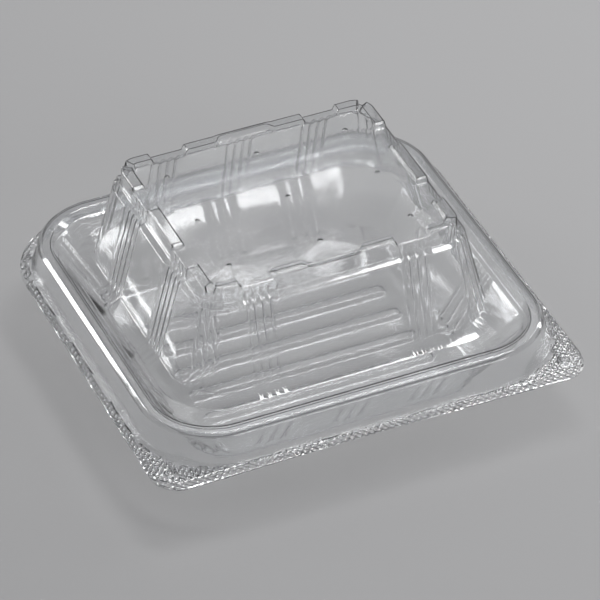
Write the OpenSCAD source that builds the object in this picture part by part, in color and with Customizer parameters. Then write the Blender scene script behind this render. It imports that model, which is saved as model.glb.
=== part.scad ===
// Clear hinged food pack: a thermoformed tray and a domed lid joined by a fold along the back.
// The tray stands on z = 0, with its tabs towards -Y and its fold towards +Y.

/* [Sheet] */
// Thickness of the formed sheet
wall = 0.5; // [0.35:0.05:0.8]
// Clearance between the closed lid and the tray
fit_gap = 0.3; // [0.2:0.05:0.5]

/* [Rim] */
// Width of the mouth between the inner edges of the rim
mouth_w = 160; // [140:1:200]
// Depth of the mouth between the inner edges of the rim
mouth_d = 151; // [135:1:190]
// Corner radius of the mouth
mouth_r = 25; // [22:0.5:30]
// Height of the rim above the flange
rim_h = 12.6; // [9:0.2:16]
// Width of the flat top of the rim
rim_top_w = 3.2; // [2:0.1:6]
// Size of the bevel at the rim's outer top edge
rim_bevel = 1.2; // [0.6:0.1:2]
// How far the rim's outer wall leans in
rim_lean = 2.2; // [1:0.1:4]
// Width of the step at the foot of the rim
rim_step_w = 1.1; // [0.6:0.1:2]
// Height of the step at the foot of the rim
rim_step_h = 3.6; // [2:0.1:5]

/* [Flange] */
// Width of the flange at the two sides
flange_side = 4.5; // [4:0.1:10]
// Width of the flange in the middle of the front
flange_front = 4.8; // [4:0.2:10]
// Width of the flange at the back, up to the fold
flange_back = 5; // [4:0.2:10]
// How far the front corners of the tray's flange reach out as opening tabs
tab_flare = 1.2; // [0:0.1:5]
// Radius of the tray's opening tabs
tab_r = 12; // [6:0.5:14]
// Radius of the back corners of the flange
back_r = 36; // [34:0.5:44]
// How far the lid's flange stops short of the tray's at the front
lid_setback = 2.6; // [1:0.1:3]
// Radius of the lid's opening tabs
lid_tab_r = 10; // [5:0.5:12]

/* [Hinge] */
// Length of the fold along the back
fold_l = 92; // [60:1:100]
// Thickness of the folded edge
fold_w = 0.9; // [0.6:0.1:1.2]
// Room between the folded edge and the lid's flange
fold_gap = 0.7; // [0.6:0.1:1]

/* [Tray] */
// Height from the floor to the top of the rim
tray_h = 34.5; // [28:0.5:50]
// Depth of the upright seat inside the rim
seat_h = 4.8; // [4:0.1:6]
// How far the seat leans in
seat_lean = 1; // [0.5:0.1:2]
// Width of the ledge below the seat
seat_w = 1.8; // [1:0.1:4]
// How far the tray's wall leans in on its way to the floor
tray_lean = 15; // [10:0.5:20]
// Corner radius of the floor
floor_r = 13; // [10:0.5:16]
// Radius of the bend between the wall and the floor
floor_bend = 4.6; // [3:0.2:6]
// Depth of the flutes in the tray's wall
tray_flute = 1.3; // [0.6:0.1:1.6]

/* [Floor ribs] */
// Distance from rib to rib
rib_pitch = 15.4; // [12:0.2:17]
// Length of a rib
rib_l = 100; // [60:1:104]
// Width of a rib at its foot
rib_w = 6.4; // [4:0.2:9]
// Height of a rib
rib_h = 1.8; // [1:0.1:3]
// How far a rib's flanks lean in
rib_lean = 1.3; // [0.6:0.1:1.8]

/* [Dome] */
// Drop from the rim into the groove round the dome
groove_h = 2.4; // [1.4:0.1:3]
// How far the groove's wall leans in, so that the lid clears the rim as it swings
groove_lean = 3.2; // [3:0.1:4]
// Distance from the mouth to the foot of the dome's wall at the sides
shelf_side = 13.2; // [11:0.2:18]
// Distance from the mouth to the foot of the dome's wall at the front and back
shelf_front = 17.2; // [11:0.2:20]
// Width of the flare at the foot of the dome's wall
flare_w = 5.8; // [3:0.2:7]
// Height of the flare at the foot of the dome's wall
flare_h = 2.6; // [1.5:0.1:5]
// Height of the roof above the rim
dome_h = 40; // [30:0.5:60]
// How far the dome's wall leans in
dome_lean = 8.4; // [5:0.2:12]
// Width of the step below the roof
shoulder_w = 2.8; // [1.5:0.1:4]
// Height of the band between the step and the roof
band_h = 6; // [4:0.2:12]
// How far that band leans in
band_lean = 0.9; // [0.5:0.1:3]
// Rise of the step below the roof
shoulder_h = 0.9; // [0.4:0.1:2]
// Corner radius of the dome at the foot of its wall
dome_r = 21; // [18:0.5:26]
// Corner radius of the dome at the step
shoulder_r = 12.5; // [11:0.5:18]
// Corner radius of the roof
roof_r = 8; // [7:0.5:12]
// Depth of the flutes in the dome's wall
dome_flute = 1.1; // [0.6:0.1:1.6]

/* [Stacking lugs] */
// Height of the lugs above the roof
lug_h = 2.2; // [1:0.1:4]
// Width of the lugs, inwards from the roof's edge
lug_w = 4.4; // [3:0.1:6]
// How far the inner and end flanks of a lug lean
lug_lean = 0.8; // [0.5:0.1:1.4]
// Length of the narrow ridge in the middle of the front and back lugs
ridge_l = 23; // [20:0.5:24]
// Width of that ridge
ridge_w = 1.3; // [0.8:0.1:2]
// Length of the change from the ridge to the full width of the lug
ridge_end = 3; // [1:0.1:4]

/* [Flutes] */
// Flutes in a group of the dome's wall
flute_n = 4; // [2:1:4]
// Distance from flute to flute in the dome's wall
flute_pitch = 3.4; // [2.6:0.1:3.6]
// Flutes in a group of the tray's wall
tray_flute_n = 3; // [2:1:3]
// Distance from flute to flute in the tray's wall
tray_flute_pitch = 5.4; // [4:0.1:5.6]
// Length of lug between a group and the corner at the front and back
group_end_x = 6.1; // [3:0.1:8]
// Length of lug between a group and the corner at the sides
group_end_y = 10.6; // [7:0.1:12]

/* [Hidden] */

clear_sheet = [0.86, 0.9, 0.92, 0.45];

// Facets in a quarter turn, and those of the corner's flutes
arc_n = 12;
corner_flutes = [4, 6, 8];
// Corner facets next to a straight side that still carry a lug
corner_lug_n = 4;
// Ribs on each side of the middle one
rib_side_n = 2;
// Straight pieces that make up the bowed front edge of the flange
front_n = 8;
// What counts as no distance
tiny = 0.001;

rim_w = rim_top_w + rim_bevel + rim_lean + rim_step_w;
flange_z = tray_h - rim_h;
flange_x = mouth_w / 2 + rim_w + flange_side;
flange_yf = mouth_d / 2 + rim_w + flange_front;
flange_yb = mouth_d / 2 + rim_w + flange_back;
// The mouth's middle lies behind the middle of the whole pack
mouth_y = (flange_yf + tab_flare - flange_yb) / 2;
// From a surface of the tray to the same surface of the lid that lies over it
lid_lift = fit_gap + wall;
roof_z = tray_h + lid_lift + dome_h;

// A station is the place of a ring: inset from the mouth at the sides and at the front,
// corner radius, height, depth of the flutes, height of the lugs and their narrowing at the ridge.
function station(side, front, r, z, flute = 0, lug = 0, narrow = 0) =
    [side, front, r, z, flute, lug, narrow];
function even(inset, z) = station(inset, inset, mouth_r - inset, z);

// Stretches of the section that the tray and the lid share, from the foot of the rim to the mouth
rim_stations = [
    even(-rim_w, flange_z),
    even(rim_step_w - rim_w, flange_z + rim_step_h),
    even(-rim_top_w - rim_bevel, tray_h - rim_bevel),
    even(-rim_top_w, tray_h),
    even(0, tray_h)
];

// Round-up of a bend: share of its reach and of its drop
bend_half = 1 - cos(45);
tray_foot = seat_lean + seat_w + tray_lean;
tray_stations = concat(rim_stations, [
    even(seat_lean, tray_h - seat_h),
    even(seat_lean + seat_w, tray_h - seat_h - seat_lean),
    wall_foot(0, floor_bend, tray_flute),
    wall_foot(floor_bend * bend_half, floor_bend * bend_half, tray_flute / 2),
    wall_foot(floor_bend, 0, 0)
]);
function wall_foot(in, up, flute) =
    station(tray_foot + in, tray_foot + in, floor_r + floor_bend - in, wall + up, flute);

groove_z = tray_h - groove_h;
base_z = groove_z + lid_lift;
top_side = shelf_side + dome_lean + shoulder_w + band_lean;
top_front = shelf_front + dome_lean + shoulder_w + band_lean;
dome_stations = [
    station(shelf_side - flare_w, shelf_front - flare_w, dome_r + flare_w / 2, base_z, dome_flute / 2),
    station(shelf_side, shelf_front, dome_r, base_z + flare_h, dome_flute / 2),
    station(shelf_side + dome_lean, shelf_front + dome_lean, shoulder_r, roof_z - band_h, dome_flute),
    station(shelf_side + dome_lean + shoulder_w, shelf_front + dome_lean + shoulder_w,
        shoulder_r - shoulder_w / 2, roof_z - band_h + shoulder_h, dome_flute / 2),
    station(top_side, top_front, roof_r, roof_z, 0, lug_h),
    station(top_side + lug_w, top_front + lug_w, roof_r - lug_w, roof_z, 0, lug_h, lug_w - ridge_w),
    station(top_side + lug_w + lug_lean, top_front + lug_w + lug_lean, roof_r - lug_w - lug_lean, roof_z,
        0, 0, lug_w - ridge_w)
];
// The lid's rim is the tray's, moved out by its clearance and its sheet, and it dips into the mouth
lid_stations = concat(
    lifted(concat(rim_stations, [even(groove_lean, groove_z)]), lid_lift),
    dome_stations
);

// Section maths: unit direction, upward normal and mitred normal at a station
function spot(s) = [s[0], s[3]];
function unit(v) = v / norm(v);
function upward(a, b) = let (d = unit(b - a)) [-d.y, d.x];
function mitre(n1, n2) = (n1 + n2) / (1 + n1 * n2);
function flat(p, side) = p + [side, 0];
function normal_at(list, i) = let (
    p = spot(list[i]),
    before = i > 0 ? spot(list[i - 1]) : flat(p, -1),
    after = i < len(list) - 1 ? spot(list[i + 1]) : flat(p, 1)
) mitre(upward(before, p), upward(p, after));
// A station list moved along its normals, up for a positive distance
function lifted(list, by) = [
    for (i = [0:len(list) - 1])
        let (s = list[i], m = normal_at(list, i) * by)
            [s[0] + m.x, s[1] + m.x, s[2] - m.x, s[3] + m.y, s[4], s[5], s[6]]
];

// A mark is a point on a straight side: place, share of the flute, of the lug and of the ridge there
start_mark = [[0, 0, 1, 0]];
plain = [start_mark, [], [], []];
dome_half = flute_n * flute_pitch / 2;
group_x = mouth_w / 2 - top_side - roof_r - group_end_x - lug_lean - dome_half;
group_y = mouth_d / 2 - top_front - roof_r - group_end_y - lug_lean - dome_half;
function flutes(at, n, pitch, lug = 0) =
    [for (i = [0:2 * n]) [at + (i - n) * pitch / 2, i % 2, lug, lug]];
function dome_group(at) = concat(
    [[at - dome_half - lug_lean, 0, 1, 0]],
    flutes(at, flute_n, flute_pitch),
    [[at + dome_half + lug_lean, 0, 1, 0]]
);
// Middle of the front and back, where the lug runs on as a narrow ridge, over flutes at the back alone
ridge_start = [for (i = [0, 1]) [-ridge_l / 2 + (i - 0.5) * ridge_end, 0, 1, i]];
ridge_stop = [for (i = [1, 0]) [ridge_l / 2 - (i - 0.5) * ridge_end, 0, 1, i]];
dome_back = concat(dome_group(-group_x), ridge_start, flutes(0, flute_n, flute_pitch, 1), ridge_stop,
    dome_group(group_x));
dome_front = concat(dome_group(-group_x), ridge_start, ridge_stop, dome_group(group_x));
dome_side = concat(dome_group(-group_y), start_mark, dome_group(group_y));
dome_marks = [dome_side, dome_back, dome_side, dome_front];
function tray_group(at) = flutes(at, tray_flute_n, tray_flute_pitch);
tray_back = concat(tray_group(-group_x), tray_group(0), tray_group(group_x));
tray_side = concat(tray_group(-group_y), start_mark, tray_group(group_y));
tray_marks = [tray_side, tray_back, tray_side, tray_back];

// Ring of points at a station, anticlockwise from the middle of the right side
turn = [for (i = [0:arc_n]) [
    90 * i / arc_n,
    len(search(i, corner_flutes)) > 0 ? 1 : 0,
    i <= corner_lug_n || i >= arc_n - corner_lug_n ? 1 : 0
]];
function side_xy(k, hx, hy, at, in) =
    k == 0 ? [hx - in, at] : k == 1 ? [-at, hy - in] : k == 2 ? [in - hx, -at] : [at, in - hy];
function corner_xy(k, hx, hy, r, angle, in) = let (
    sx = k == 0 || k == 3 ? 1 : -1,
    sy = k < 2 ? 1 : -1,
    a = 90 * k + angle
) [sx * (hx - r) + (r - in) * cos(a), sy * (hy - r) + (r - in) * sin(a)];
function ring(s, marks) = let (
    hx = mouth_w / 2 - s[0],
    hy = mouth_d / 2 - s[1],
    on_side = function (k, m)
        [each side_xy(k, hx, hy, m[0], m[1] * s[4] - m[3] * s[6]), s[3] + m[2] * s[5]],
    round = function (k, m) [each corner_xy(k, hx, hy, s[2], m[0], m[1] * s[4]), s[3] + m[2] * s[5]]
) [
    for (m = marks[0]) if (m[0] >= 0) on_side(0, m),
    for (m = turn) round(0, m),
    for (m = marks[1]) on_side(1, m),
    for (m = turn) round(1, m),
    for (m = marks[2]) on_side(2, m),
    for (m = turn) round(2, m),
    for (m = marks[3]) on_side(3, m),
    for (m = turn) round(3, m),
    for (m = marks[0]) if (m[0] < 0) on_side(0, m)
];

// Outline of a flange: straight sides, round back corners and a front that flares out to two tabs
function bow(x, reach, yf, flare) = -yf - flare * pow(x / reach, 2);
function quarter(cx, cy, r, from) =
    [for (i = [0:arc_n]) [cx + r * cos(from + 90 * i / arc_n), cy + r * sin(from + 90 * i / arc_n)]];
function flange_outline(hx, yf, yb, rf, rb, flare) = let (reach = hx - rf, tab_y = rf - yf - flare) concat(
    [[hx, 0]],
    quarter(hx - rb, yb - rb, rb, 0),
    [[fold_l / 2 + fold_w, yb], [fold_l / 2, yb], [-fold_l / 2, yb], [-fold_l / 2 - fold_w, yb]],
    quarter(rb - hx, yb - rb, rb, 90),
    quarter(-reach, tab_y, rf, 180),
    [for (i = [1:front_n - 1]) let (x = reach * (2 * i / front_n - 1)) [x, bow(x, reach, yf, flare)]],
    quarter(reach, tab_y, rf, 270)
);
function at_height(outline, z) = [for (p = outline) [p.x, p.y, z]];

// The tray's flange edge: two outlines that meet along the fold, where the outer one is turned up
tray_outline = flange_outline(flange_x, flange_yf, flange_yb, tab_r, back_r, tab_flare);
tray_inner = [for (p = tray_outline) p * (1 - fold_w / norm(p))];
function in_fold(p) = p.y > flange_yb - fold_w / 2 && abs(p.x) <= fold_l / 2 + fold_w / 4;
fold_top = flange_z + lid_lift;
tray_edge = [for (p = tray_outline) [p.x, p.y, in_fold(p) ? fold_top : flange_z]];
// The lid's front edge is straight, so that the tray's tabs can be held below it
lid_outline = flange_outline(flange_x, flange_yf - lid_setback, flange_yb - fold_w - fold_gap,
    lid_tab_r, back_r - fold_w - fold_gap, 0);

// Faces between two rings, clockwise seen from above; rings of unlike counts are stitched by angle
function angle_of(p) = let (a = atan2(p.y, p.x)) a < -tiny ? a + 360 : a;
function sweep(ring) = [for (i = [1:len(ring)]) i < len(ring) ? angle_of(ring[i]) : 360];
function below(angles, a) = len([for (b = angles) if (b < a) 1]);
function upto(angles, a) = len([for (b = angles) if (b <= a) 1]);
function stitch(a, b, ia, ib) = let (
    na = len(a),
    nb = len(b),
    aa = sweep(a),
    ab = sweep(b)
) concat(
    [for (i = [0:na - 1]) let (j = below(ab, aa[i])) [ia[i], ib[j % nb], ia[(i + 1) % na]]],
    [for (j = [0:nb - 1]) let (i = upto(aa, ab[j])) [ia[i % na], ib[j], ib[(j + 1) % nb]]]
);
function ladder(n, ia, ib) = [
    for (i = [0:n - 1]) let (k = (i + 1) % n) each [[ia[i], ib[i], ia[k]], [ia[k], ib[i], ib[k]]]
];
function band(a, b, ia, ib) = len(a) == len(b) ? ladder(len(a), ia, ib) : stitch(a, b, ia, ib);
function indices(from, n) = [for (i = [0:n - 1]) from + i];
function starts(rings, i = 0, at = 0) =
    i == len(rings) ? [] : concat([at], starts(rings, i + 1, at + len(rings[i])));
function bands(rings, at) = [
    for (i = [0:len(rings) - 2]) let (a = rings[i], b = rings[i + 1])
        each band(a, b, indices(at[i], len(a)), indices(at[i + 1], len(b)))
];
function flipped(faces, by) = [for (f = faces) [for (i = [len(f) - 1:-1:0]) f[i] + by]];
function edge(n, by) = [for (i = [0:n - 1]) let (k = (i + 1) % n) [i, k, k + by, i + by]];
function flatten(lists) = [for (l = lists) each l];

// A sheet: upper rings and lower rings of like counts, with the faces that close their middle
module sheet(upper, lower, upper_inner, lower_inner, cap) {
    at = starts(upper);
    total = len(flatten(upper)) + len(upper_inner);
    faces = concat(bands(upper, at), cap);
    polyhedron(
        points = concat(flatten(upper), upper_inner, flatten(lower), lower_inner),
        faces = concat(faces, flipped(faces, total), edge(len(upper[0]), total)),
        convexity = 10
    );
}

// Floor of the tray: a grid whose lines run along the feet and the tops of the ribs
rib_flat = rib_w / 2 - rib_lean;
floor_inset = tray_foot + floor_bend;
grid_x = min(mouth_w / 2 - floor_inset - floor_r / 3, rib_l / 2 + rib_lean);
grid_y = rib_side_n * rib_pitch + rib_w / 2 + rib_lean;
xs = [-grid_x, -rib_l / 2, rib_lean - rib_l / 2, rib_l / 2 - rib_lean, rib_l / 2, grid_x];
ys = concat([-grid_y], flatten([
    for (k = [-rib_side_n:rib_side_n]) let (c = k * rib_pitch) concat(
        [c - rib_w / 2, c - rib_flat],
        k == 0 ? [0] : [],
        [c + rib_flat, c + rib_w / 2]
    )
]), [grid_y]);
nx = len(xs);
ny = len(ys);
function on_rib(x, y) = abs(x) <= rib_l / 2 - rib_lean + tiny
    && min([for (k = [-rib_side_n:rib_side_n]) abs(y - k * rib_pitch)]) <= rib_flat + tiny;
function grid(z) = [for (y = ys) for (x = xs) [x, y, z + (on_rib(x, y) ? rib_h : 0)]];
function grid_faces(from) = [
    for (j = [0:ny - 2]) for (i = [0:nx - 2]) let (p = from + j * nx + i)
        each [[p, p + nx, p + 1], [p + 1, p + nx, p + nx + 1]]
];
mid_row = search(0, ys)[0];
function grid_rim() = concat(
    [for (j = [mid_row:ny - 1]) j * nx + nx - 1],
    [for (i = [nx - 2:-1:0]) (ny - 1) * nx + i],
    [for (j = [ny - 2:-1:0]) j * nx],
    [for (i = [1:nx - 1]) i],
    mid_row > 1 ? [for (j = [1:mid_row - 1]) j * nx + nx - 1] : []
);

module tray() {
    // The rim and its seat are plain, the wall and the bend at the floor are fluted
    plain_n = len(rim_stations) + 1;
    low_stations = lifted(tray_stations, -wall);
    rings = function (list) [
        for (i = [0:len(list) - 1]) ring(list[i], i < plain_n ? plain : tray_marks)
    ];
    upper = concat([tray_edge, at_height(tray_inner, flange_z)], rings(tray_stations));
    lower = concat(
        [at_height(tray_outline, flange_z - wall), at_height(tray_inner, flange_z - wall)],
        rings(low_stations)
    );
    last = upper[len(upper) - 1];
    from = len(flatten(upper));
    around = [for (i = grid_rim()) grid(wall)[i]];
    around_ids = [for (i = grid_rim()) from + i];
    join = stitch(last, around, indices(from - len(last), len(last)), around_ids);
    color(clear_sheet)
        translate([0, mouth_y, 0])
            sheet(upper, lower, grid(wall), grid(0), concat(join, grid_faces(from)));
}

module lid() {
    plain_n = len(rim_stations) + 1;
    low_stations = lifted(lid_stations, -wall);
    rings = function (list) [
        for (i = [0:len(list) - 1]) ring(list[i], i < plain_n ? plain : dome_marks)
    ];
    upper = concat([at_height(lid_outline, flange_z + lid_lift)], rings(lid_stations));
    lower = concat([at_height(lid_outline, flange_z + fit_gap)], rings(low_stations));
    last = len(upper[len(upper) - 1]);
    from = len(flatten(upper));
    roof = [for (i = [0:last - 1]) [from - last + i, from, from - last + (i + 1) % last]];
    color(clear_sheet)
        translate([0, mouth_y, 0])
            sheet(upper, lower, [[0, 0, roof_z]], [[0, 0, roof_z - wall]], roof);
}

tray();
lid();
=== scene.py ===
"""Clear hinged food pack: the formed sheet of its tray and lid, their fold and a plain stage."""

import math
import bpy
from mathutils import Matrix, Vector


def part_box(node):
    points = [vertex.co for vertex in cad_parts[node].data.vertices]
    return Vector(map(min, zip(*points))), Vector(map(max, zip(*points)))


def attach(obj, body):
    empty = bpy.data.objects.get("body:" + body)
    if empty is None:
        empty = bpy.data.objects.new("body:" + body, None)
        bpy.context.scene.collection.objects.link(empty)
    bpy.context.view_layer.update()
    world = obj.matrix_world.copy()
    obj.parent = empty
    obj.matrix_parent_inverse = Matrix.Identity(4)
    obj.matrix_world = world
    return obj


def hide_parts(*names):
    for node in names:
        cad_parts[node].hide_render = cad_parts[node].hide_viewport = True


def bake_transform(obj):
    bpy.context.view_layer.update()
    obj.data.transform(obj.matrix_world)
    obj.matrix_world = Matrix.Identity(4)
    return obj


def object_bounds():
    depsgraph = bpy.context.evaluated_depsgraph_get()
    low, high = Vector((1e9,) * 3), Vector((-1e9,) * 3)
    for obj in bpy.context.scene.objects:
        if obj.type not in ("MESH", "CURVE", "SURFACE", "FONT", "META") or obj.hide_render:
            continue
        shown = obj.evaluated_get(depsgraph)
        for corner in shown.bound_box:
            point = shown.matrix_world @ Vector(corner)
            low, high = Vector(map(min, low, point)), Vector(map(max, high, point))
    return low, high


bl_info = {
    "name": "Clear hinged food pack",
    "version": (1, 0, 0),
    "blender": (4, 5, 0),
    "location": "View3D > Sidebar > Food pack",
    "description": "Models the formed sheet of a clear food pack and sets a plain stage round it",
    "category": "Object",
}

from typing import NamedTuple

import bmesh
import bpy
import numpy as np
from bpy.props import FloatProperty, FloatVectorProperty, IntProperty, PointerProperty
from mathutils import Vector
from mathutils.geometry import delaunay_2d_cdt

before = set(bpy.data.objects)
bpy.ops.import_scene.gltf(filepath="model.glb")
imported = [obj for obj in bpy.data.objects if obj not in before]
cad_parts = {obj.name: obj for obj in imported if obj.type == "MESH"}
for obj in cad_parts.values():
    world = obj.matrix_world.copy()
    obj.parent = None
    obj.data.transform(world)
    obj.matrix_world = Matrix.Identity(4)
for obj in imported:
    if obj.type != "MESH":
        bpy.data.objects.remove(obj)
CAD_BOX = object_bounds()
TRAY_LOW, TRAY_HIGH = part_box("tray")
LID_LOW, LID_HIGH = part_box("lid")

MM = 0.001
IMAGE_SIDE = 600

# Limits of the modelling steps
POINTS_AT_ONCE = 1000  # points whose depth inside an outline is worked out together
SAME_POINT = 1e-8  # points of a plate that lie closer than this are one
WELD = 0.002 * MM  # points of a sheet that lie closer than this are merged
BEND_SHARE = 0.48  # most of a straight stretch that the bend at one of its ends may take
SMOOTH_ANGLE = math.radians(32)  # bends sharper than this keep their edge in the shading

# Reliefs pressed into level sheet: shares of the radius or flank, and of the height
STUD_PROFILE = ((1.0, 0.0), (0.86, 0.5), (0.72, 0.5), (0.62, 0.12), (0.5, 0.1), (0.4, 0.7), (0.22, 1.0))
STUD_STEPS = 20
PIP_PROFILE = ((1.0, 0.0), (0.8, 0.5), (0.5, 0.88), (0.2, 1.0))
PIP_STEPS = 12
RIB_FOOT = ((-0.9, 0.0), (-0.45, 0.05), (0.0, 0.19))
RIB_FLANK = ((0.3, 0.42), (0.6, 0.7), (0.85, 0.89), (1.15, 0.98), (1.5, 1.0))
RIB_CORNER_STEPS = 6
RIB_ROUND = 0.8  # radius of a rib's corners, as a share of its half width

# Directions out of the right side, the back, the left side and the front
OUTWARD = ((1, 0), (0, 1), (-1, 0), (0, -1))

# Finish and stage
HAZE_SCALE = 0.6  # the hazy patches are wider than the slow waves
FLOOR_TONE = 3.0  # patches to the metre in the floor's sheen
FLOOR_ROUGH = 0.7
FLOOR_ROUGH_SPREAD = 0.1
FLOOR_SIDE = 6
FLOOR_GAP = 0.2 * MM  # keeps the tray's underside off the floor
BOUNCES = 32  # a ray can meet the clear sheet many times
CLEAR_BOUNCES = 48


def length(label, text, metres):
    return FloatProperty(name=label, description=text, default=metres, unit="LENGTH", precision=5)


def count(label, text, number):
    return IntProperty(name=label, description=text, default=number, min=1)


def number(label, text, value):
    return FloatProperty(name=label, description=text, default=value)


def turn(label, text, degrees):
    return FloatProperty(name=label, description=text, default=math.radians(degrees), unit="ROTATION")


def colour(label, text, rgb):
    return FloatVectorProperty(name=label, description=text, default=rgb, subtype="COLOR", size=3)


class SheetSizes(bpy.types.PropertyGroup):
    """The formed sheet as a whole"""

    wall: length("Wall", "Thickness of the formed sheet", 0.5 * MM)
    fit_gap: length("Fit gap", "Clearance between the closed lid and the tray", 0.3 * MM)
    bend_r: length("Bend radius", "Radius of the bends in the sheet's section", 1.0 * MM)
    bend_steps: count("Bend steps", "Pieces of each bend", 4)
    corner_steps: count("Corner steps", "Pieces of each round corner", 30)


class RimSizes(bpy.types.PropertyGroup):
    """The rim round the mouth, and the flange outside it"""

    mouth_w: length("Mouth width", "Between the inner edges of the rim", 160 * MM)
    mouth_d: length("Mouth depth", "Between the inner edges of the rim", 151 * MM)
    mouth_r: length("Mouth corner", "Corner radius of the mouth", 25 * MM)
    rim_h: length("Rim height", "From the flange to the rim's top", 12.6 * MM)
    top_w: length("Rim top", "Width of the rim's flat top", 3.2 * MM)
    bevel: length("Rim bevel", "Bevel at the rim's outer top edge", 1.2 * MM)
    lean: length("Rim lean", "How far the rim's outer wall leans in", 2.2 * MM)
    step_w: length("Rim step width", "Step at the foot of the rim", 1.1 * MM)
    step_h: length("Rim step height", "Step at the foot of the rim", 3.6 * MM)
    foot_w: length("Rim foot", "Smooth strip of flange next to the rim", 0.7 * MM)
    flange_front: length("Front flange", "Flange width in the middle of the front", 4.8 * MM)
    flange_back: length("Back flange", "Flange width at the back, up to the fold", 5 * MM)
    tab_r: length("Tab radius", "Radius of the tray's opening tabs", 12 * MM)
    back_r: length("Back radius", "Radius of the flange's back corners", 36 * MM)
    lid_setback: length("Lid setback", "How far the lid's flange stops short at the front", 2.6 * MM)
    lid_tab_r: length("Lid tab radius", "Radius of the lid's opening tabs", 10 * MM)


class FoldSizes(bpy.types.PropertyGroup):
    """The fold along the back"""

    fold_l: length("Fold length", "Length of the fold along the back", 92 * MM)
    fold_w: length("Fold width", "Thickness of the folded edge", 0.9 * MM)
    fold_gap: length("Fold gap", "Room between the folded edge and the lid's flange", 0.7 * MM)
    film: length("Fold film", "Thickness of the sheet where it is folded", 0.25 * MM)
    seam: length("Fold seam", "How far the folded strip lies on the tray's flange", 0.6 * MM)
    steps: count("Fold steps", "Pieces of the fold's round", 12)


class TraySizes(bpy.types.PropertyGroup):
    """The tray's wall and floor"""

    seat_h: length("Seat depth", "Depth of the upright seat inside the rim", 4.8 * MM)
    seat_lean: length("Seat lean", "How far the seat leans in", 1.0 * MM)
    seat_w: length("Seat ledge", "Width of the ledge below the seat", 1.8 * MM)
    lean: length("Wall lean", "How far the wall leans in on its way to the floor", 15 * MM)
    floor_r: length("Floor corner", "Corner radius of the floor", 13 * MM)
    floor_bend: length("Floor bend", "Radius of the bend between the wall and the floor", 4.6 * MM)
    flute: length("Flute depth", "Depth of the flutes in the wall", 1.3 * MM)
    rib_pitch: length("Rib pitch", "Distance from rib to rib", 15.4 * MM)
    rib_l: length("Rib length", "Length of a rib", 100 * MM)
    rib_w: length("Rib width", "Width of a rib at its foot", 6.4 * MM)
    rib_h: length("Rib height", "Height of a rib", 1.8 * MM)
    rib_lean: length("Rib lean", "How far a rib's flanks lean in", 1.3 * MM)
    rib_side_n: count("Ribs a side", "Ribs on each side of the middle one", 2)


class DomeSizes(bpy.types.PropertyGroup):
    """The lid's groove, dome, step and stacking lugs"""

    groove_h: length("Groove depth", "Drop from the rim into the groove", 2.4 * MM)
    groove_lean: length("Groove lean", "How far the groove's wall leans in", 3.2 * MM)
    shelf_side: length("Side shelf", "From the mouth to the dome's wall at the sides", 13.2 * MM)
    shelf_front: length("Front shelf", "From the mouth to the dome's wall at the front", 17.2 * MM)
    flare_w: length("Flare width", "Width of the flare at the foot of the wall", 5.8 * MM)
    flare_h: length("Flare height", "Height of the flare at the foot of the wall", 2.6 * MM)
    lean: length("Wall lean", "How far the dome's wall leans in", 8.4 * MM)
    shoulder_w: length("Step width", "Width of the step below the roof", 2.8 * MM)
    shoulder_h: length("Step rise", "Rise of the step below the roof", 0.9 * MM)
    band_h: length("Band height", "Height of the band between the step and the roof", 6 * MM)
    band_lean: length("Band lean", "How far that band leans in", 0.9 * MM)
    wall_r: length("Wall corner", "Corner radius at the foot of the wall", 21 * MM)
    shoulder_r: length("Step corner", "Corner radius at the step", 12.5 * MM)
    roof_r: length("Roof corner", "Corner radius of the roof", 8 * MM)
    flute: length("Flute depth", "Depth of the flutes in the wall", 1.1 * MM)
    lug_h: length("Lug height", "Height of the lugs above the roof", 2.2 * MM)
    lug_w: length("Lug width", "Width of the lugs, inwards from the roof's edge", 4.4 * MM)
    lug_lean: length("Lug lean", "How far a lug's inner and end flanks lean", 0.8 * MM)
    ridge_l: length("Ridge length", "Narrow ridge in the middle of the front and back lugs", 23 * MM)
    ridge_w: length("Ridge width", "Width of that ridge", 1.3 * MM)
    ridge_end: length("Ridge end", "Length of the change from the ridge to the full lug", 3 * MM)
    pip_r: length("Pip radius", "Radius of the pips on the roof", 1.1 * MM)
    pip_h: length("Pip height", "Height of the pips on the roof", 0.5 * MM)
    pip_x: length("Pip spacing across", "From the middle pip to the next at its side", 38.7 * MM)
    pip_y: length("Pip spacing along", "From the middle pip to the next behind it", 31 * MM)


class FluteSizes(bpy.types.PropertyGroup):
    """Groups of flutes in the walls"""

    dome_n: count("Dome flutes", "Flutes in a group of the dome's wall", 4)
    dome_pitch: length("Dome pitch", "Distance from flute to flute in the dome's wall", 3.4 * MM)
    tray_n: count("Tray flutes", "Flutes in a group of the tray's wall", 3)
    tray_pitch: length("Tray pitch", "Distance from flute to flute in the tray's wall", 5.4 * MM)
    steps: count("Steps", "Pieces of each flute", 6)
    group_x: length("Group place", "Outer groups from the middle of the front", 33 * MM)
    group_y: length("Side group place", "Groups from the middle of a side", 20 * MM)
    corner_n: count("Corner flutes", "Flutes in a corner", 3)
    corner_span: turn("Corner span", "Angle that a corner's flutes take up", 45)
    corner_gap: turn("Corner gap", "Angle between the lugs in a corner", 15)
    corner_lean: turn("Corner lean", "Angle that the end flank of a corner's lug takes up", 7.5)


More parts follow.
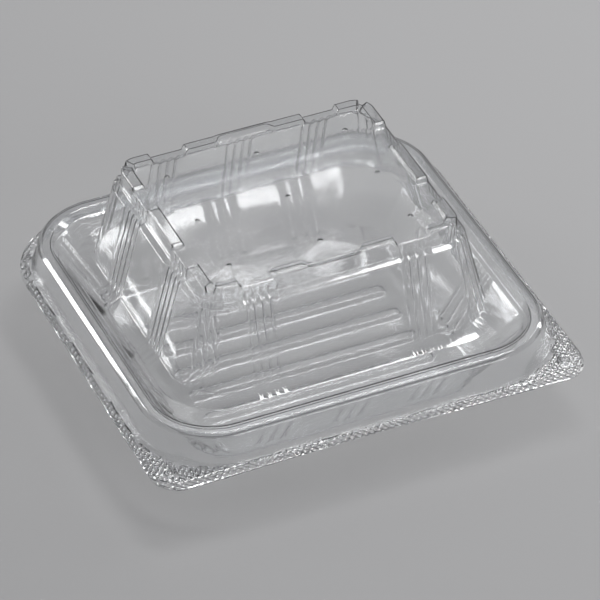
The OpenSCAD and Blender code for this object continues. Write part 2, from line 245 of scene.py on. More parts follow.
class GripSizes(bpy.types.PropertyGroup):
    """The pattern of knobs on the flanges, and the studs on the tabs"""

    pitch: length("Knob pitch", "Distance from knob to knob", 2.0 * MM)
    top: length("Knob top", "Width of a knob's flat top", 0.7 * MM)
    height: length("Knob height", "Height of a knob", 0.3 * MM)
    margin: length("Plain margin", "Plain strip along the flange's edges", 0.25 * MM)
    stud_r: length("Stud radius", "Radius of the stud on each tab", 2.3 * MM)
    stud_h: length("Stud height", "Height of the stud on each tab", 0.9 * MM)
    stud_x: length("Stud place across", "From the middle to a stud", 84.5 * MM)
    stud_y: length("Stud place forward", "From the middle to a stud", 78.5 * MM)


class Finish(bpy.types.PropertyGroup):
    """The clear sheet's finish"""

    tint: colour("Tint", "Colour that the clear sheet lets through", (0.985, 0.99, 0.995))
    gloss: number("Roughness", "Roughness of the clean sheet", 0.035)
    haze: number("Haze", "Roughness added in the sheet's hazy patches", 0.07)
    ior: number("Index", "Index of refraction of the sheet", 1.57)
    passing: number("Lamp light", "Share of the lamps' light that passes each face of the sheet", 0.93)
    wave: length("Waviness", "Size of the slow waves in the sheet", 16 * MM)
    wave_h: length("Wave height", "Height of the slow waves in the sheet", 0.12 * MM)
    grain: length("Grain", "Size of the fine unevenness of the surface", 1.4 * MM)
    grain_h: length("Grain height", "Height of the fine unevenness", 0.004 * MM)


class Studio(bpy.types.PropertyGroup):
    """Camera, lights and floor"""

    azimuth: turn("Azimuth", "Where the camera stands, turned from the front", -24)
    elevation: turn("Elevation", "How far the camera looks down", 38.5)
    distance: length("Distance", "From the camera to the rim's middle", 1903 * MM)
    focal_px: number("Focal length", "Focal length in pixels of the image", 4770)
    shift_px_x: number("Rim middle across", "Pixels from the image's middle to the rim's", -11.8)
    shift_px_y: number("Rim middle up", "Pixels from the image's middle up to the rim's", 22.4)
    floor: colour("Floor", "Colour of the floor", (0.46, 0.46, 0.465))
    sky: colour("Sky", "Colour of the room's own light", (0.16, 0.16, 0.165))
    top_light: number("Top light", "Watts of the softbox overhead", 8)
    side_light: number("Side lights", "Watts of each strip light", 2.6)
    front_light: number("Front light", "Watts of the low front panel", 3)


class FoodPack(bpy.types.PropertyGroup):
    """All settings of the pack"""

    sheet: PointerProperty(type=SheetSizes)
    rim: PointerProperty(type=RimSizes)
    fold: PointerProperty(type=FoldSizes)
    tray: PointerProperty(type=TraySizes)
    dome: PointerProperty(type=DomeSizes)
    flutes: PointerProperty(type=FluteSizes)
    grip: PointerProperty(type=GripSizes)
    finish: PointerProperty(type=Finish)
    studio: PointerProperty(type=Studio)


class Station(NamedTuple):
    """Place of a ring: insets from the mouth at the sides and the front, corner radius, height,
    flute depth, lug height and how much narrower a ridge is than a lug"""

    side: float
    front: float
    radius: float
    height: float
    flute: float = 0.0
    lug: float = 0.0
    narrow: float = 0.0


class Group(NamedTuple):
    """A place on a side for flutes: how deep they are, and whether the lug runs on as a ridge"""

    at: float
    flute: float = 1.0
    ridge: bool = False


class Lamp(NamedTuple):
    """A soft lamp: its place, its width and height in metres, and the setting that holds its watts"""

    name: str
    place: tuple
    size: tuple
    watts: str


LAMPS = (
    Lamp("top_softbox", (0.38, 0.3, 1.15), (0.7, 0.26), "top_light"),
    Lamp("left_strip", (-0.78, 0.85, 0.45), (0.12, 0.9), "side_light"),
    Lamp("right_strip", (1.0, 0.2, 0.55), (0.12, 0.9), "side_light"),
    Lamp("front_panel", (0.4, -1.05, 0.45), (0.6, 0.2), "front_light"),
)


class Marks(NamedTuple):
    """What every ring shares, point by point: outward direction, place on a side, corner and relief"""

    normal: np.ndarray
    along: np.ndarray
    corner: np.ndarray
    flute: np.ndarray
    lug: np.ndarray
    ridge: np.ndarray


# Section of the sheet


def between(a, b, share):
    """The station that lies a share of the way from one to the other"""
    return Station(*(p + (q - p) * share for p, q in zip(a, b)))


def spot(station):
    """Where the station lies in the section of a side"""
    return Vector((station.side, station.height))


def upward(a, b):
    """The normal of the section between two spots, up for a stretch that runs inwards"""
    step = (b - a).normalized()
    return Vector((-step.y, step.x))


def lifted(stations, by):
    """The stations moved along the section's normals, up for a positive distance"""
    spots = [spot(s) for s in stations]
    level_step = Vector((MM, 0))
    spots = [spots[0] - level_step] + spots + [spots[-1] + level_step]
    moved = []
    for station, before, at, after in zip(stations, spots, spots[1:], spots[2:]):
        first, second = upward(before, at), upward(at, after)
        move = (first + second) / (1 + first.dot(second)) * by
        moved.append(
            station._replace(
                side=station.side + move.x,
                front=station.front + move.x,
                radius=station.radius - move.x,
                height=station.height + move.y,
            )
        )
    return moved


def rounded(stations, bend_r, steps):
    """The stations with each bend between them made round"""
    out = [stations[0]]
    for before, at, after in zip(stations, stations[1:], stations[2:]):
        arms = [spot(before) - spot(at), spot(after) - spot(at)]
        bend = math.pi - arms[0].angle(arms[1])
        reach = bend_r * math.tan(bend / 2)
        start, end = (
            between(at, other, min(reach / arm.length, BEND_SHARE))
            for other, arm in zip((before, after), arms)
        )
        for i in range(steps + 1):
            share = i / steps
            out.append(between(between(start, at, share), between(at, end, share), share))
    return out + [stations[-1]]


def even(pack, inset, height):
    """A station that keeps one distance from the mouth all the way round"""
    return Station(inset, inset, pack.rim.mouth_r - inset, height)


def rim_width(rim):
    return rim.top_w + rim.bevel + rim.lean + rim.step_w


def flange_height(pack):
    return TRAY_HIGH.z - pack.rim.rim_h


def mouth_back(pack):
    """How far the mouth's middle lies behind the middle of the frame"""
    return TRAY_HIGH.y - pack.rim.mouth_d / 2 - rim_width(pack.rim) - pack.rim.flange_back


def lid_lift(pack):
    """How far the lid's upper face lies off the tray's, where it lies over it"""
    return pack.sheet.fit_gap + pack.sheet.wall


def lid_back(pack):
    """Where the lid's flange ends at the back, in the frame"""
    return TRAY_HIGH.y - pack.fold.fold_w - pack.fold.fold_gap


def rim_stations(pack):
    """The rim's section from its foot to the mouth, which the tray and the lid share"""
    rim = pack.rim
    foot, top = flange_height(pack), TRAY_HIGH.z
    return [
        even(pack, -rim_width(rim) - rim.foot_w, foot),
        even(pack, -rim_width(rim), foot),
        even(pack, rim.step_w - rim_width(rim), foot + rim.step_h),
        even(pack, -rim.top_w - rim.bevel, top - rim.bevel),
        even(pack, -rim.top_w, top),
        even(pack, 0, top),
    ]


def tray_stations(pack):
    """The tray's section from the foot of its rim to the edge of its floor"""
    tray, sheet = pack.tray, pack.sheet
    seat = TRAY_HIGH.z - tray.seat_h
    ledge = tray.seat_lean + tray.seat_w
    foot, bend = ledge + tray.lean, tray.floor_bend
    upper = rim_stations(pack) + [
        even(pack, tray.seat_lean, seat),
        even(pack, ledge, seat - tray.seat_lean),
        wall_foot(pack, foot, 0, bend),
    ]
    turns = np.radians(np.linspace(0, 90, 2 * sheet.bend_steps + 1))
    floor = [
        wall_foot(pack, foot, bend * (1 - math.cos(a)), bend * (1 - math.sin(a)))
        for a in turns[1:]
    ]
    return rounded(upper, sheet.bend_r, sheet.bend_steps) + floor


def wall_foot(pack, foot, inwards, up):
    """A place in the bend between the tray's wall and its floor"""
    tray = pack.tray
    return Station(
        foot + inwards,
        foot + inwards,
        tray.floor_r + tray.floor_bend - inwards,
        pack.sheet.wall + up,
        tray.flute * up / tray.floor_bend,
    )


def lid_stations(pack):
    """The lid's section from the foot of its rim to the edge of its roof"""
    dome, lift = pack.dome, lid_lift(pack)
    roof = LID_HIGH.z - dome.lug_h
    groove = TRAY_HIGH.z - dome.groove_h
    lower = lifted(rim_stations(pack) + [even(pack, dome.groove_lean, groove)], lift)
    shoulder = roof - dome.band_h

    def dome_at(inwards, radius, height, *relief):
        return Station(dome.shelf_side + inwards, dome.shelf_front + inwards, radius, height, *relief)

    def roof_at(inwards, lug, narrow):
        return dome_at(top_in + inwards, dome.roof_r - inwards, roof, 0, lug, narrow)

    step_in = dome.lean + dome.shoulder_w
    top_in = step_in + dome.band_lean
    band_r = dome.shoulder_r - dome.shoulder_w / 2
    narrow = dome.lug_w - dome.ridge_w
    upper = [
        dome_at(-dome.flare_w, dome.wall_r + dome.flare_w / 2, groove + lift, dome.flute / 2),
        dome_at(0, dome.wall_r, groove + lift + dome.flare_h, dome.flute / 2),
        dome_at(dome.lean, dome.shoulder_r, shoulder, dome.flute),
        dome_at(step_in, band_r, shoulder + dome.shoulder_h, dome.flute / 2),
        roof_at(0, dome.lug_h, 0),
        roof_at(dome.lug_w, dome.lug_h, narrow),
        roof_at(dome.lug_w + dome.lug_lean, 0, narrow),
        roof_at(dome.lug_w + 2 * dome.lug_lean, 0, narrow),
    ]
    return rounded(lower + upper, pack.sheet.bend_r, pack.sheet.bend_steps)


# Rings round the pack


def smooth(share):
    """A share that starts and ends gently"""
    share = np.clip(share, 0, 1)
    return share * share * (3 - 2 * share)


def side_marks(pack, groups, number, pitch):
    """Places along one straight side, with the shares of the flute, the lug and the ridge at each"""
    dome = pack.dome
    half, ridge_half = number * pitch / 2, (dome.ridge_l + dome.ridge_end) / 2
    spans = []
    for group in groups:
        reach = (ridge_half if group.ridge else half) + 2 * dome.lug_lean
        pieces = math.ceil(2 * reach / pitch * pack.flutes.steps)
        spans.append(group.at + np.linspace(-reach, reach, pieces + 1))
    places = np.concatenate(spans)
    flute, lug, ridge = np.zeros_like(places), np.ones_like(places), np.zeros_like(places)
    for group in groups:
        off = places - group.at
        wave = 0.5 - 0.5 * np.cos(2 * np.pi * (off + half) / pitch)
        flute += np.where(np.abs(off) < half, wave, 0) * group.flute
        if group.ridge:
            ridge += smooth((ridge_half - np.abs(off)) / dome.ridge_end)
        else:
            lug = np.minimum(lug, smooth((np.abs(off) - half) / dome.lug_lean))
    return places, flute, lug, ridge


def corner_marks(pack):
    """Angles through one round corner, with the shares of the flute, the lug and the ridge at each"""
    flutes = pack.flutes
    angles = np.linspace(0, np.pi / 2, pack.sheet.corner_steps + 1)
    off = angles - np.pi / 4
    span = flutes.corner_span / 2
    wave = 0.5 - 0.5 * np.cos(2 * np.pi * (off + span) / (2 * span) * flutes.corner_n)
    flute = np.where(np.abs(off) < span, wave, 0)
    lug = smooth((np.abs(off) - flutes.corner_gap / 2) / flutes.corner_lean)
    return angles, flute, lug, np.zeros_like(angles)


def round_marks(pack, number, pitch, front, back):
    """Marks of the whole ring, anticlockwise from the front end of the right side"""
    x, y = pack.flutes.group_x, pack.flutes.group_y
    sides = [Group(-y), Group(y)]
    normal, along, corner, relief = [], [], [], []
    behind, ahead = ([Group(-x), middle, Group(x)] for middle in (back, front))
    for k, groups in enumerate((sides, behind, sides, ahead)):
        out = np.array(OUTWARD[k])
        forward = np.array([-out[1], out[0]])
        places, *side_relief = side_marks(pack, groups, number, pitch)
        angles, *corner_relief = corner_marks(pack)
        angles = angles + k * np.pi / 2
        normal += [np.tile(out, (len(places), 1)), np.column_stack([np.cos(angles), np.sin(angles)])]
        along += [places[:, None] * forward, np.zeros((len(angles), 2))]
        corner += [np.zeros((len(places), 2)), np.tile(out + forward, (len(angles), 1))]
        relief += [np.array(side_relief), np.array(corner_relief)]
    shape = (np.concatenate(part) for part in (normal, along, corner))
    return Marks(*shape, *np.concatenate(relief, axis=1))


def ring(pack, station, marks):
    """The points of one ring, with its flutes, lugs and ridges"""
    half = np.array([pack.rim.mouth_w / 2 - station.side, pack.rim.mouth_d / 2 - station.front])
    in_corner = np.abs(marks.corner).sum(axis=1) > 0
    reach = np.where(in_corner, station.radius, np.abs(marks.normal) @ half)
    reach += marks.ridge * station.narrow - marks.flute * station.flute
    flat = marks.along + marks.corner * (half - station.radius) + marks.normal * reach[:, None]
    return np.column_stack([flat, station.height + marks.lug * station.lug])


# Modelling steps


def start_piece():
    """Deselects all, so that what is added next is the only thing that operators act on"""
    if bpy.context.object and bpy.context.object.mode != "OBJECT":
        bpy.ops.object.mode_set(mode="OBJECT")
    bpy.ops.object.select_all(action="DESELECT")


def loft(name, rings):
    """A sheet drawn out from ring to ring, from a circle of as many points"""
    start_piece()
    bpy.ops.mesh.primitive_circle_add(vertices=len(rings[0]), radius=1, fill_type="NOTHING")
    piece = bpy.context.object
    piece.name = name
    bpy.ops.object.mode_set(mode="EDIT")
    bpy.ops.mesh.select_all(action="SELECT")
    mesh = bmesh.from_edit_mesh(piece.data)
    order = mesh.verts.layers.int.new("order")
    mesh.verts.ensure_lookup_table()
    for i, vertex in enumerate(mesh.verts):
        vertex[order] = i
        vertex.co = rings[0][i]
    for points in rings[1:]:
        bpy.ops.mesh.extrude_edges_move()
        mesh = bmesh.from_edit_mesh(piece.data)
        order = mesh.verts.layers.int["order"]
        for vertex in mesh.verts:
            if vertex.select:
                vertex.co = points[vertex[order]]
    bmesh.update_edit_mesh(piece.data)
    bpy.ops.object.mode_set(mode="OBJECT")
    piece.data.attributes.remove(piece.data.attributes["order"])
    return piece


def loop_edges(start, number):
    """The edges of a closed loop of numbered points"""
    return [(start + i, start + (i + 1) % number) for i in range(number)]


class Plate:
    """A level stretch of sheet: closed loops and nets with their heights, filled with triangles"""

    def __init__(self):
        self.points, self.heights, self.edges = [], [], []

    def loop(self, points, height):
        self.edges += loop_edges(len(self.points), len(points))
        self.points += [tuple(p[:2]) for p in points]
        self.heights += [height] * len(points)

    def net(self, points, heights, edges):
        start = len(self.points)
        self.points += [tuple(p) for p in points]
        self.heights += list(heights)
        self.edges += [(a + start, b + start) for a, b in edges]

    def make(self, name, level, hole=None):
        """The plate as a piece, left open where hole says a point lies in the hole"""
        flat = [Vector(p) for p in self.points]
        points, _, faces, origins, _, _ = delaunay_2d_cdt(flat, self.edges, [], 1, SAME_POINT)
        heights = [self.heights[o[0]] if o else level for o in origins]
        if hole is not None:
            middles = np.array([np.mean([points[i] for i in f], axis=0) for f in faces])
            faces = [f for f, open_here in zip(faces, hole(middles)) if not open_here]
        mesh = bpy.data.meshes.new(name)
        mesh.from_pydata([(*p, h) for p, h in zip(points, heights)], [], faces)
        piece = bpy.data.objects.new(name, mesh)
        bpy.context.scene.collection.objects.link(piece)
        return piece


def joined(piece, plates):
    """The piece with its plates sewn on along the rings that they share"""
    start_piece()
    for plate in plates:
        plate.select_set(True)
    piece.select_set(True)
    bpy.context.view_layer.objects.active = piece
    bpy.ops.object.join()
    bpy.ops.object.mode_set(mode="EDIT")
    bpy.ops.mesh.select_all(action="SELECT")
    bpy.ops.mesh.remove_doubles(threshold=WELD)
    bpy.ops.mesh.delete_loose()
    bpy.ops.mesh.select_all(action="SELECT")
    bpy.ops.mesh.normals_make_consistent(inside=False)
    bpy.ops.object.mode_set(mode="OBJECT")
    middle = min(piece.data.polygons, key=lambda f: f.center.x**2 + f.center.y**2)
    if middle.normal.z < 0:
        piece.data.flip_normals()
    return piece


def thickened(piece, wall, side=-1):
    """The sheet with its thickness added on its lower side, or on both for side 0, and shaded smooth"""
    bpy.context.view_layer.objects.active = piece
    bpy.ops.object.modifier_add(type="SOLIDIFY")
    solid = piece.modifiers[-1]
    solid.thickness = wall
    solid.offset = side
    bpy.ops.object.modifier_apply(modifier=solid.name)
    bpy.ops.object.shade_smooth_by_angle(angle=SMOOTH_ANGLE)
    return piece


def placed(piece, back):
    """The piece moved back to where the mouth lies, with its place in its mesh"""
    bpy.ops.object.mode_set(mode="EDIT")
    bpy.ops.mesh.select_all(action="SELECT")
    bpy.ops.transform.translate(value=(0, back, 0))
    bpy.ops.object.mode_set(mode="OBJECT")
    return piece


# Flanges


def quarter(middle, radius, start, steps):
    """A quarter of a circle, anticlockwise from the angle start, in degrees"""
    angles = np.radians(start + np.linspace(0, 90, steps + 1))
    return middle + radius * np.column_stack([np.cos(angles), np.sin(angles)])


def flange_outline(half_x, front, back, tab_y, tab_r, back_r, steps):
    """Straight sides, round back corners and a bowed front between two tabs"""
    reach = half_x - tab_r
    x = np.linspace(-reach, reach, 2 * steps + 1)[1:-1]
    bow = np.column_stack([x, front + (tab_y - front) * (x / reach) ** 2])
    return np.concatenate(
        [
            quarter((half_x - back_r, back - back_r), back_r, 0, steps),
            quarter((back_r - half_x, back - back_r), back_r, 90, steps),
            quarter((-reach, tab_y + tab_r), tab_r, 180, steps),
            bow,
            quarter((reach, tab_y + tab_r), tab_r, 270, steps),
        ]
    )


def cut_finer(outline, longest):
    """The closed outline with points added where its pieces are too long"""
    finer = []
    for a, b in zip(outline, np.roll(outline, -1, axis=0)):
        pieces = max(1, math.ceil(np.linalg.norm(b - a) / longest))
        finer += [a + (b - a) * k / pieces for k in range(pieces)]
    return np.array(finer)


def depth_inside(points, outline):
    """How far each point lies inside a closed outline, below zero outside it"""
    a, b = outline, np.roll(outline, -1, axis=0)
    side = b - a

    def depth(block):
        rel = block[:, None, :] - a
        share = np.clip((rel * side).sum(-1) / (side * side).sum(-1), 0, 1)
        away = np.linalg.norm(rel - share[..., None] * side, axis=-1).min(axis=1)
        spans = (a[:, 1] > block[:, 1:]) != (b[:, 1] > block[:, 1:])
        with np.errstate(divide="ignore", invalid="ignore"):
            crossing = a[:, 0] + rel[..., 1] / side[:, 1] * side[:, 0]
        inside = (spans & (block[:, :1] < crossing)).sum(axis=1) % 2 == 1
        return np.where(inside, away, -away)

    blocks = np.array_split(points, len(points) // POINTS_AT_ONCE + 1)
    return np.concatenate([depth(block) for block in blocks])


def knob_net(grip, kept):
    """Square knobs in rows across the flange's diagonals: points, heights and edges of what is kept"""
    rows = math.ceil(2 * max(TRAY_HIGH) / grip.pitch)
    index = np.arange(-rows, rows + 1)
    i, j = (g.ravel() for g in np.meshgrid(index, index))
    inset = (1 - grip.top / grip.pitch) / 2
    corners = [(0, 0), (1, 0), (1, 1), (0, 1)]
    spots = [(u, v, 0.0) for u, v in corners]
    spots += [(abs(inset - u), abs(inset - v), grip.height) for u, v in corners]
    lines = loop_edges(0, 4) + loop_edges(4, 4) + [(k, k + 4) for k in range(4)]

    def place(u, v):
        return np.column_stack([u + v, u - v]) * grip.pitch / math.sqrt(2)

    inside = np.array([kept(place(i + u, j + v)) for u, v, _ in spots])
    numbers, points, heights, edges = {}, [], [], set()

    def point(u, v, height):
        key = (round(u, 3), round(v, 3))
        if key not in numbers:
            numbers[key] = len(points)
            points.append(place(np.array([u]), np.array([v]))[0])
            heights.append(height)
        return numbers[key]

    for cell in np.flatnonzero(inside[4:].any(axis=0)):
        found = {
            k: point(i[cell] + u, j[cell] + v, rise)
            for k, (u, v, rise) in enumerate(spots)
            if inside[k, cell]
        }
        whole = [(found[a], found[b]) for a, b in lines if a in found and b in found]
        edges |= {tuple(sorted(ends)) for ends in whole}
    return np.array(points), np.array(heights), sorted(edges)


def circle(middle, radius, steps):
    angles = np.linspace(0, 2 * np.pi, steps, endpoint=False)
    return np.array(middle) + radius * np.column_stack([np.cos(angles), np.sin(angles)])


def stud_loops(grip, middle):
    """A domed stud in a ring, as loops with their heights"""
    return [
        (circle(middle, grip.stud_r * share, STUD_STEPS), grip.stud_h * rise)
        for share, rise in STUD_PROFILE
    ]


def flange_plate(pack, name, outline, rim_foot, level):
    """The flange between its outline and the rim's foot, with knobs all over and a stud on each tab"""
    grip = pack.grip
    studs = [np.array((side * grip.stud_x, -grip.stud_y)) for side in (-1, 1)]
    rim_line = rim_foot[:, :2]
    fold_front = lid_back(pack) - mouth_back(pack) - grip.margin

    def kept(points):
        keep = (np.abs(points) > (pack.rim.mouth_w / 2, pack.rim.mouth_d / 2)).any(axis=1)
        keep[keep] = depth_inside(points[keep], outline) > grip.margin
        keep[keep] = depth_inside(points[keep], rim_line) < -grip.margin
        for stud in studs:
            keep &= np.linalg.norm(points - stud, axis=1) > grip.stud_r + grip.margin
        in_fold = (np.abs(points[:, 0]) < pack.fold.fold_l / 2) & (points[:, 1] > fold_front)
        return keep & ~in_fold

    plate = Plate()
    plate.loop(cut_finer(outline, grip.pitch / 2), level)
    plate.loop(rim_foot, level)
    for stud in studs:
        for points, rise in stud_loops(grip, stud):
            plate.loop(points, level + rise)
    points, heights, edges = knob_net(grip, kept)
    plate.net(points, level + heights, edges)
    return plate.make(name, level, hole=lambda p: depth_inside(p, rim_line) > 0)


# Pieces


def rib_loop(half_l, half_w, middle_y):
    """A long loop with round corners, for a rib"""
    radius = half_w * RIB_ROUND
    reach_x, reach_y = half_l - radius, half_w - radius
    ends = [(1, 1, 0), (-1, 1, 90), (-1, -1, 180), (1, -1, 270)]
    return np.concatenate(
        [
            quarter((sx * reach_x, middle_y + sy * reach_y), radius, start, RIB_CORNER_STEPS)
            for sx, sy, start in ends
        ]
    )


def floor_plate(pack, edge):
    """The tray's floor with its ribs"""
    tray, level = pack.tray, pack.sheet.wall
    plate = Plate()
    plate.loop(edge, level)
    for k in range(-tray.rib_side_n, tray.rib_side_n + 1):
        for share, rise in RIB_FOOT + RIB_FLANK:
            inset = share * tray.rib_lean
            loop = rib_loop(tray.rib_l / 2 - inset, tray.rib_w / 2 - inset, k * tray.rib_pitch)
            plate.loop(loop, level + rise * tray.rib_h)
    return plate.make("tray_floor", level)


def roof_plate(pack, edge):
    """The lid's roof with its pips"""
    dome, level = pack.dome, edge[:, 2].mean()
    plate = Plate()
    plate.loop(edge, level)
    for x in (-dome.pip_x, 0, dome.pip_x):
        for y in (-dome.pip_y, 0, dome.pip_y):
            for share, rise in PIP_PROFILE:
                plate.loop(circle((x, y), dome.pip_r * share, PIP_STEPS), level + rise * dome.pip_h)
    return plate.make("lid_roof", level)


def shell(pack, name, stations, marks, outline, middle_plate):
    """A formed sheet: its rings, its flange and what closes its middle"""
    rings = [ring(pack, s, marks) for s in stations]
    piece = loft(name, rings)
    plates = [
        flange_plate(pack, name + "_flange", outline, rings[0], stations[0].height),
        middle_plate(pack, rings[-1]),
    ]
    return placed(thickened(joined(piece, plates), pack.sheet.wall), mouth_back(pack))


# Materials


class Value:
    """A socket that takes part in sums: each sum adds its Math node"""

    def __init__(self, graph, socket):
        self.graph, self.socket = graph, socket

    def math(self, operation, first, second):
        return self.graph.add("ShaderNodeMath", {"operation": operation}, {0: first, 1: second})

    def __add__(self, other):
        return self.math("ADD", self, other)

    def __mul__(self, other):
        return self.math("MULTIPLY", self, other)

    __radd__ = __add__
    __rmul__ = __mul__


class Graph:
    """The nodes of one material or world"""

    def __init__(self, owner):
        owner.use_nodes = True
        self.tree = owner.node_tree
        self.tree.nodes.clear()

    def add(self, kind, settings=None, inputs=None, output=0):
        """A node of that type, with its settings set first and its sockets given values or links"""
        node = self.tree.nodes.new(kind)
        for name, value in (settings or {}).items():
            setattr(node, name, value)
        for name, value in (inputs or {}).items():
            socket = node.inputs[name]
            if isinstance(value, Value):
                self.tree.links.new(value.socket, socket)
            else:
                socket.default_value = value
        return Value(self, node.outputs[output]) if node.outputs else node


def noise(graph, place, scale, detail):
    """Soft random patches over a piece"""
    sockets = {"Vector": place, "Scale": scale, "Detail": detail}
    return graph.add("ShaderNodeTexNoise", {}, sockets, output="Fac")


def clear_sheet(finish, name):
    """Clear formed sheet: slow waves from the forming, a fine grain and faint haze. Light from the lamps
    and the floor passes it unbent"""
    material = bpy.data.materials.new(name)
    graph = Graph(material)
    place = graph.add("ShaderNodeTexCoord", output="Object")
    waves = noise(graph, place, 1 / finish.wave, detail=1.5)
    grain = noise(graph, place, 1 / finish.grain, detail=2.0)
    haze = noise(graph, place, HAZE_SCALE / finish.wave, detail=3.0)
    relief = waves * finish.wave_h + grain * finish.grain_h
    normal = graph.add("ShaderNodeBump", {}, {"Height": relief, "Distance": 1.0, "Strength": 1.0})
    surface = graph.add(
        "ShaderNodeBsdfPrincipled",
        {},
        {
            "Base Color": (*finish.tint, 1),
            "Roughness": haze * haze * finish.haze + finish.gloss,
            "IOR": finish.ior,
            "Transmission Weight": 1.0,
            "Normal": normal,
        },
    )
    lamp_ray = graph.add("ShaderNodeLightPath", output="Is Shadow Ray")
    floor_ray = graph.add("ShaderNodeLightPath", output="Is Diffuse Ray")
    passed = graph.add("ShaderNodeBsdfTransparent", {}, {"Color": (*[finish.passing] * 3, 1)})
    shown = graph.add("ShaderNodeMixShader", {}, {"Fac": lamp_ray + floor_ray, 1: surface, 2: passed})
    graph.add("ShaderNodeOutputMaterial", {}, {"Surface": shown})
    return material


def floor_paint(studio):
    """Matt pale floor, a little uneven in its sheen"""
    material = bpy.data.materials.new("studio_floor")
    graph = Graph(material)
    place = graph.add("ShaderNodeTexCoord", output="Object")
    rough = noise(graph, place, FLOOR_TONE, detail=2.0) * FLOOR_ROUGH_SPREAD + FLOOR_ROUGH
    surface = graph.add(
        "ShaderNodeBsdfPrincipled", {}, {"Base Color": (*studio.floor, 1), "Roughness": rough}
    )
    graph.add("ShaderNodeOutputMaterial", {}, {"Surface": surface})
    return material


def dress(piece, material, slot, body, *nodes):
    """Gives a piece its material, the body it rides on and the nodes that it stands for. The slot is not
    used
    """
    piece.data.materials.clear()
    piece.data.materials.append(material)
    if body:
        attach(piece, body)
    if nodes:
        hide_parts(*nodes)


# Operators


class PackPiece:
    """What the operators share: each makes its piece from the settings of the pack"""

    bl_options = {"REGISTER", "UNDO"}

    def execute(self, context):
        self.make(context.scene.food_pack)
        return {"FINISHED"}


class FOODPACK_OT_tray(PackPiece, bpy.types.Operator):
    """Forms the tray: flange, rim, seat, fluted wall and ribbed floor"""

    bl_idname = "foodpack.tray"
    bl_label = "Tray"

    def make(self, pack):
        back, flutes = mouth_back(pack), pack.flutes
        outline = flange_outline(
            TRAY_HIGH.x,
            -pack.rim.mouth_d / 2 - rim_width(pack.rim) - pack.rim.flange_front,
            TRAY_HIGH.y - back,
            TRAY_LOW.y - back,
            pack.rim.tab_r,
            pack.rim.back_r,
            pack.sheet.corner_steps,
        )
        marks = round_marks(pack, flutes.tray_n, flutes.tray_pitch, Group(0), Group(0))
        piece = shell(pack, "tray_shell", tray_stations(pack), marks, outline, floor_plate)
        dress(piece, clear_sheet(pack.finish, "clear_tray"), "tray_sheet", "tray", "tray")


class FOODPACK_OT_lid(PackPiece, bpy.types.Operator):
    """Forms the lid: flange, rim, groove, fluted dome, step, lugs and roof"""

    bl_idname = "foodpack.lid"
    bl_label = "Lid"

    def make(self, pack):
        rim, flutes, back = pack.rim, pack.flutes, mouth_back(pack)
        outline = flange_outline(
            LID_HIGH.x,
            rim.lid_setback - rim.mouth_d / 2 - rim_width(rim) - rim.flange_front,
            lid_back(pack) - back,
            LID_LOW.y - back,
            rim.lid_tab_r,
            rim.back_r - (TRAY_HIGH.y - lid_back(pack)),
            pack.sheet.corner_steps,
        )
        front, behind = Group(0, flute=0.0, ridge=True), Group(0, ridge=True)
        marks = round_marks(pack, flutes.dome_n, flutes.dome_pitch, front, behind)
        piece = shell(pack, "lid_shell", lid_stations(pack), marks, outline, roof_plate)
        dress(piece, clear_sheet(pack.finish, "clear_lid"), "lid_sheet", "lid", "lid")


class FOODPACK_OT_fold(PackPiece, bpy.types.Operator):
    """Folds the thin strip of sheet that joins the lid to the tray along the back"""

    bl_idname = "foodpack.fold"
    bl_label = "Fold"

    def make(self, pack):
        fold = pack.fold
        low = flange_height(pack) + fold.film / 2
        high = flange_height(pack) + lid_lift(pack) - pack.sheet.wall / 2
        round_r = (high - low) / 2
        bend_y = TRAY_HIGH.y - round_r - fold.film
        start_piece()
        bpy.ops.mesh.primitive_plane_add(size=1)
        strip = bpy.context.object
        strip.name = "fold_strip"
        bpy.ops.object.mode_set(mode="EDIT")
        bpy.ops.transform.resize(value=(fold.fold_l, fold.seam, 1))
        bpy.ops.transform.translate(value=(0, bend_y - fold.seam / 2, low))
        mesh = bmesh.from_edit_mesh(strip.data)
        for part in (mesh.faces, mesh.edges, mesh.verts):
            for item in part:
                item.select_set(False)
        for edge in mesh.edges:
            edge.select_set(all(v.co.y > bend_y - fold.seam / 2 for v in edge.verts))
        middle = (0, bend_y, low + round_r)
        bpy.ops.mesh.spin(steps=fold.steps, angle=math.pi, center=middle, axis=(1, 0, 0))
        to_lid = (0, lid_back(pack) - bend_y, 0)
        bpy.ops.mesh.extrude_edges_move(TRANSFORM_OT_translate={"value": to_lid})
        bpy.ops.mesh.select_all(action="SELECT")
        bpy.ops.mesh.remove_doubles(threshold=WELD)
        bpy.ops.mesh.normals_make_consistent(inside=False)
        bpy.ops.object.mode_set(mode="OBJECT")
        thickened(strip, fold.film, 0)
        dress(strip, clear_sheet(pack.finish, "clear_fold"), "tray_sheet", None)
        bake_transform(strip)


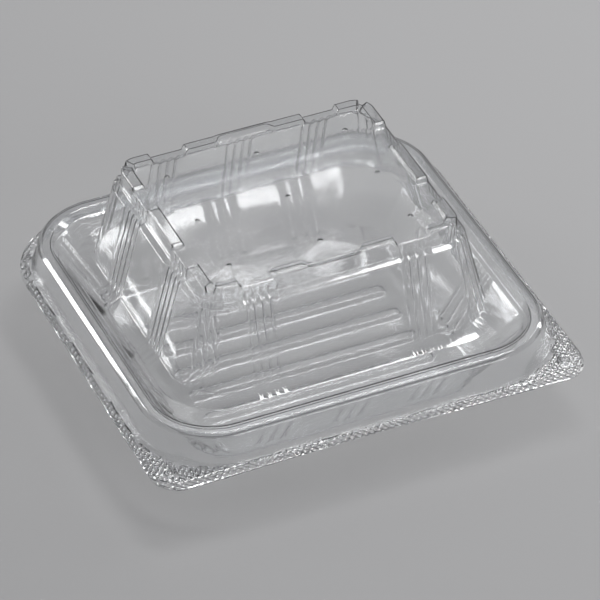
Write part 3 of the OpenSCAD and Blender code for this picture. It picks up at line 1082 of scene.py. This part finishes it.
class FOODPACK_OT_stage(PackPiece, bpy.types.Operator):
    """Sets the floor, the lights and the camera"""

    bl_idname = "foodpack.stage"
    bl_label = "Stage"

    def make(self, pack):
        studio = pack.studio
        start_piece()
        level = CAD_BOX[0][2] - FLOOR_GAP
        bpy.ops.mesh.primitive_plane_add(size=FLOOR_SIDE, location=(0, 0, level))
        floor = bpy.context.object
        floor.name = "floor"
        floor.data.materials.append(floor_paint(studio))
        for lamp in LAMPS:
            self.add_lamp(lamp, getattr(studio, lamp.watts))
        self.add_sky(studio)
        self.add_camera(studio, Vector((0, mouth_back(pack), TRAY_HIGH.z)))
        bpy.context.scene.view_settings.view_transform = "Standard"
        paths = bpy.context.scene.cycles
        paths.max_bounces = BOUNCES
        paths.transmission_bounces = BOUNCES
        paths.transparent_max_bounces = CLEAR_BOUNCES

    def add_lamp(self, lamp, watts):
        place = Vector(lamp.place)
        bpy.ops.object.light_add(type="AREA", location=place)
        light = bpy.context.object
        light.name = lamp.name
        to_pack = Vector((0, 0, TRAY_HIGH.z)) - place
        light.rotation_euler = to_pack.to_track_quat("-Z", "Y").to_euler()
        light.data.shape = "RECTANGLE"
        light.data.size, light.data.size_y = lamp.size
        light.data.energy = watts

    def add_sky(self, studio):
        world = bpy.data.worlds.new("studio_sky")
        graph = Graph(world)
        sky = graph.add("ShaderNodeBackground", {}, {"Color": (*studio.sky, 1), "Strength": 1.0})
        graph.add("ShaderNodeOutputWorld", {}, {"Surface": sky})
        bpy.context.scene.world = world

    def add_camera(self, studio, aim):
        az, el = studio.azimuth, studio.elevation
        back = Vector((math.sin(az) * math.cos(el), -math.cos(az) * math.cos(el), math.sin(el)))
        right = Vector((math.cos(az), math.sin(az), 0))
        up = back.cross(right)
        pixel = studio.distance / studio.focal_px
        shift = pixel * (right * studio.shift_px_x + up * studio.shift_px_y)
        place = aim + back * studio.distance - shift
        bpy.ops.object.camera_add(location=place, rotation=(math.pi / 2 - el, 0, az))
        camera = bpy.context.object
        camera.data.angle = 2 * math.atan(IMAGE_SIDE / 2 / studio.focal_px)
        bpy.context.scene.camera = camera


PIECES = (FOODPACK_OT_tray, FOODPACK_OT_lid, FOODPACK_OT_fold, FOODPACK_OT_stage)


class FOODPACK_PT_panel(bpy.types.Panel):
    """Lists the pieces of the pack"""

    bl_idname = "FOODPACK_PT_panel"
    bl_label = "Food pack"
    bl_space_type = "VIEW_3D"
    bl_region_type = "UI"
    bl_category = "Food pack"

    def draw(self, context):
        for piece in PIECES:
            self.layout.operator(piece.bl_idname)


SETTINGS = (
    SheetSizes,
    RimSizes,
    FoldSizes,
    TraySizes,
    DomeSizes,
    FluteSizes,
    GripSizes,
    Finish,
    Studio,
    FoodPack,
)
CLASSES = SETTINGS + PIECES + (FOODPACK_PT_panel,)


def register():
    for item in CLASSES:
        bpy.utils.register_class(item)
    bpy.types.Scene.food_pack = PointerProperty(type=FoodPack)


def unregister():
    del bpy.types.Scene.food_pack
    for item in reversed(CLASSES):
        bpy.utils.unregister_class(item)


def main():
    register()
    bpy.ops.foodpack.tray()
    bpy.ops.foodpack.lid()
    bpy.ops.foodpack.fold()
    bpy.ops.foodpack.stage()


if __name__ == "__main__":
    main()
